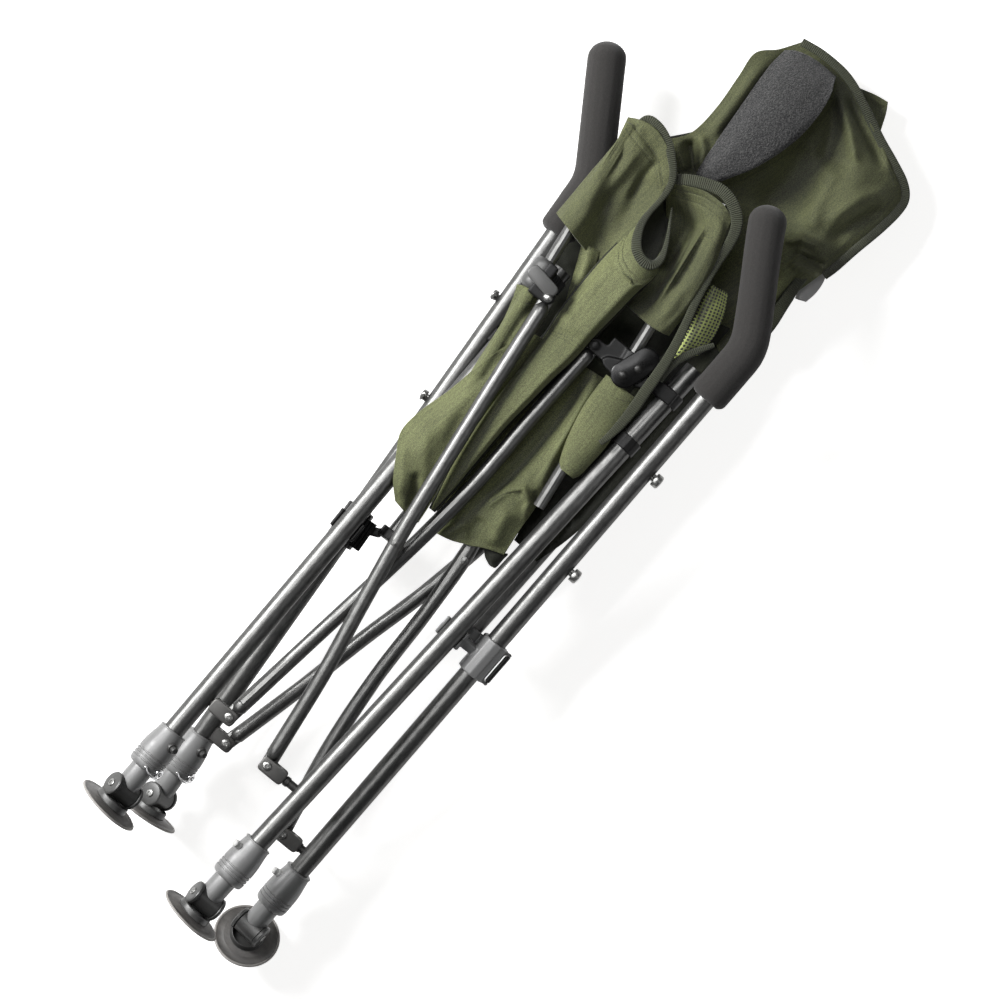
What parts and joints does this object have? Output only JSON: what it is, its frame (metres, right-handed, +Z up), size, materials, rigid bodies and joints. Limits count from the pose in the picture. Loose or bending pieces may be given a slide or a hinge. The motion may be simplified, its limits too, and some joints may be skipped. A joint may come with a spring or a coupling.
{
  "type": "folded carp fishing chair",
  "caption": "Folding low chair folded flat into a bundle: crossed telescopic legs with disc feet, foam grips, padded olive seat and back wrapped round the frame.",
  "frame": {"origin": "middle of the bundle at floor height", "axes": "+X from the disc feet to the head end, +Y to the left, +Z up from the floor"},
  "size_m": [1.1494, 0.3608, 0.1449],
  "materials": {
    "black_tube": "satin dark grey painted steel tube",
    "grey_plastic": "moulded mid-grey plastic",
    "dark_plastic": "moulded near-black plastic",
    "bright_steel": "polished",
    "grey_foam": "closed-cell foam, matt",
    "green_cloth": "woven olive polyester",
    "mesh_cloth": "open yellow-green mesh",
    "fleece": "short grey pile",
    "webbing": "ribbed webbing"
  },
  "bodies": {
    "right_side": {"sleeve_right": "dark_plastic", "seat_rail_right": "black_tube", "corner_bracket_right": "dark_plastic", "rear_bracket_right": "dark_plastic", "back_upright_right": "black_tube", "right_seat_sleeve": "green_cloth", "right_seat_pocket": "green_cloth", "seat_roll": "green_cloth", "seat_drape": "green_cloth", "back_panel": "green_cloth", "headrest": "fleece", "mesh_pocket": "mesh_cloth", "seat_binding": "webbing", "seat_underfold": "green_cloth", "strap_end": "grey_plastic"},
    "left_side": {"sleeve_left": "dark_plastic", "seat_rail_left": "black_tube", "corner_bracket_left": "grey_plastic", "rear_bracket_left": "dark_plastic", "back_upright_left": "black_tube", "left_seat_drape": "green_cloth", "left_seat_sleeve": "green_cloth"},
    "front_left_leg": {"leg_front_left": "black_tube", "collar_front_left": "grey_plastic", "lower_bracket_front_left": "grey_plastic"},
    "front_left_brace": {"brace_front_left": "black_tube"},
    "front_left_lower_leg": {"lower_leg_front_left": "black_tube", "knuckle_front_left": "grey_plastic"},
    "front_left_foot": {"foot_front_left": "dark_plastic"},
    "front_left_button": {"lock_button_front_left": "bright_steel"},
    "rear_left_leg": {"leg_rear_left": "black_tube", "collar_rear_left": "grey_plastic", "lower_bracket_rear_left": "dark_plastic", "grip_rear_left": "grey_foam"},
    "rear_left_brace": {"brace_rear_left": "black_tube"},
    "rear_left_lower_leg": {"lower_leg_rear_left": "black_tube", "knuckle_rear_left": "grey_plastic"},
    "rear_left_foot": {"foot_rear_left": "dark_plastic"},
    "rear_left_button": {"lock_button_rear_left": "bright_steel"},
    "front_right_leg": {"leg_front_right": "black_tube", "collar_front_right": "grey_plastic", "lower_bracket_front_right": "grey_plastic"},
    "front_right_brace": {"brace_front_right": "black_tube"},
    "front_right_lower_leg": {"lower_leg_front_right": "black_tube", "knuckle_front_right": "grey_plastic"},
    "front_right_foot": {"foot_front_right": "dark_plastic"},
    "front_right_button": {"lock_button_front_right": "grey_plastic"},
    "rear_right_leg": {"leg_rear_right": "black_tube", "collar_rear_right": "grey_plastic", "lower_bracket_rear_right": "dark_plastic", "grip_rear_right": "grey_foam"},
    "rear_right_brace": {"brace_rear_right": "black_tube"},
    "rear_right_lower_leg": {"lower_leg_rear_right": "black_tube", "knuckle_rear_right": "grey_plastic"},
    "rear_right_foot": {"foot_rear_right": "dark_plastic"},
    "rear_right_button": {"lock_button_rear_right": "grey_plastic"},
    "lever_left": {"lever_left": "dark_plastic"},
    "lever_right": {"lever_right": "dark_plastic"}
  },
  "joints": [
    {"name": "width_open", "type": "slide", "parent": "right_side", "child": "left_side", "axis": [0, 1, 0], "range_m": [0, 0.1], "deforming": ["left_seat_drape", "left_seat_sleeve", "right_seat_sleeve", "right_seat_pocket", "seat_roll", "seat_drape", "mesh_pocket", "seat_binding"]},
    {"name": "front_left_leg_slide", "type": "slide", "parent": "left_side", "child": "front_left_leg", "axis": [0.9972, -0.0084, -0.0743], "range_m": [0, 0.01864]},
    {"name": "front_left_brace_pivot", "type": "hinge", "parent": "front_left_leg", "child": "front_left_brace", "pos_m": [-0.36658, 0.03025, 0.10104], "axis": [0, 0.0135, 0.9999], "range_deg": [-10.77, 0]},
    {"name": "front_left_lower_leg_slide", "type": "slide", "parent": "front_left_leg", "child": "front_left_lower_leg", "axis": [-0.9972, 0.0084, 0.0743], "range_m": [0, 0.12]},
    {"name": "front_left_foot_tilt", "type": "hinge", "parent": "front_left_lower_leg", "child": "front_left_foot", "pos_m": [-0.49458, 0.06625, 0.11058], "axis": [0.0495, 0.8188, 0.572], "range_deg": [-30, 30]},
    {"name": "front_left_lock_press", "type": "slide", "parent": "front_left_leg", "child": "front_left_button", "axis": [-0.0514, 0.6447, -0.7627], "range_m": [0, 0.003], "stiffness_N_per_m": 800, "springref_m": -0.003},
    {"name": "rear_left_leg_slide", "type": "slide", "parent": "left_side", "child": "rear_left_leg", "axis": [0.9971, 0.0733, 0.0205], "range_m": [0, 0.02864]},
    {"name": "rear_left_brace_pivot", "type": "hinge", "parent": "rear_left_leg", "child": "rear_left_brace", "pos_m": [-0.39758, 0.01625, 0.03844], "axis": [0, -0.0057, 1], "range_deg": [-11.45, 0]},
    {"name": "rear_left_lower_leg_slide", "type": "slide", "parent": "rear_left_leg", "child": "rear_left_lower_leg", "axis": [-0.9971, -0.0733, -0.0205], "range_m": [0, 0.12]},
    {"name": "rear_left_foot_tilt", "type": "hinge", "parent": "rear_left_lower_leg", "child": "rear_left_foot", "pos_m": [-0.48758, 0.03625, 0.03658], "axis": [-0.0544, 0.4973, 0.8658], "range_deg": [-30, 30]},
    {"name": "rear_left_lock_press", "type": "slide", "parent": "rear_left_leg", "child": "rear_left_button", "axis": [-0.0316, 0.6436, -0.7647], "range_m": [0, 0.003], "stiffness_N_per_m": 800, "springref_m": -0.003},
    {"name": "front_right_leg_slide", "type": "slide", "parent": "right_side", "child": "front_right_leg", "axis": [0.9972, -0.0557, -0.0491], "range_m": [0, 0.02466]},
    {"name": "front_right_brace_pivot", "type": "hinge", "parent": "front_right_leg", "child": "front_right_brace", "pos_m": [-0.38008, -0.03275, 0.10328], "axis": [0, -0.0118, 0.9999], "range_deg": [0, 10.45]},
    {"name": "front_right_lower_leg_slide", "type": "slide", "parent": "front_right_leg", "child": "front_right_lower_leg", "axis": [-0.9972, 0.0557, 0.0491], "range_m": [0, 0.12]},
    {"name": "front_right_foot_tilt", "type": "hinge", "parent": "front_right_lower_leg", "child": "front_right_foot", "pos_m": [-0.52858, -0.07275, 0.11058], "axis": [0.0692, 0.9373, 0.3416], "range_deg": [-30, 30]},
    {"name": "front_right_lock_press", "type": "slide", "parent": "front_right_leg", "child": "front_right_button", "axis": [-0.0741, -0.7804, -0.6209], "range_m": [0, 0.003], "stiffness_N_per_m": 800, "springref_m": -0.003},
    {"name": "rear_right_leg_slide", "type": "slide", "parent": "right_side", "child": "rear_right_leg", "axis": [0.9957, -0.0189, 0.0911], "range_m": [0, 0.03275]},
    {"name": "rear_right_brace_pivot", "type": "hinge", "parent": "rear_right_leg", "child": "rear_right_brace", "pos_m": [-0.43258, -0.09075, 0.0484], "axis": [0, 0.0289, 0.9996], "range_deg": [0, 10.75]},
    {"name": "rear_right_lower_leg_slide", "type": "slide", "parent": "rear_right_leg", "child": "rear_right_lower_leg", "axis": [-0.9957, 0.0189, -0.0911], "range_m": [0, 0.12]},
    {"name": "rear_right_foot_tilt", "type": "hinge", "parent": "rear_right_lower_leg", "child": "rear_right_foot", "pos_m": [-0.53258, -0.12825, 0.03925], "axis": [0.0375, 0.9776, -0.207], "range_deg": [-30, 30]},
    {"name": "rear_right_lock_press", "type": "slide", "parent": "rear_right_leg", "child": "rear_right_button", "axis": [0.0235, -0.8961, -0.4433], "range_m": [0, 0.003], "stiffness_N_per_m": 800, "springref_m": -0.003},
    {"name": "sleeve_lever_left", "type": "hinge", "parent": "left_side", "child": "lever_left", "pos_m": [-0.13427, 0.05322, 0.06116], "axis": [-0.9971, -0.0733, -0.0205], "range_deg": [0, 60]},
    {"name": "sleeve_lever_right", "type": "hinge", "parent": "right_side", "child": "lever_right", "pos_m": [-0.15202, -0.15498, 0.0749], "axis": [-0.9957, 0.0189, -0.0911], "range_deg": [0, 60]}
  ],
  "couplings": [
    {"joint": "front_left_leg_slide", "follows": "width_open", "ratio": 0.18445},
    {"joint": "front_left_brace_pivot", "follows": "width_open", "rad_per_m": -1.8714},
    {"joint": "rear_left_leg_slide", "follows": "width_open", "ratio": 0.28436},
    {"joint": "rear_left_brace_pivot", "follows": "width_open", "rad_per_m": -1.9901},
    {"joint": "front_right_leg_slide", "follows": "width_open", "ratio": 0.24462},
    {"joint": "front_right_brace_pivot", "follows": "width_open", "rad_per_m": 1.8155},
    {"joint": "rear_right_leg_slide", "follows": "width_open", "ratio": 0.32551},
    {"joint": "rear_right_brace_pivot", "follows": "width_open", "rad_per_m": 1.8679}
  ]
}
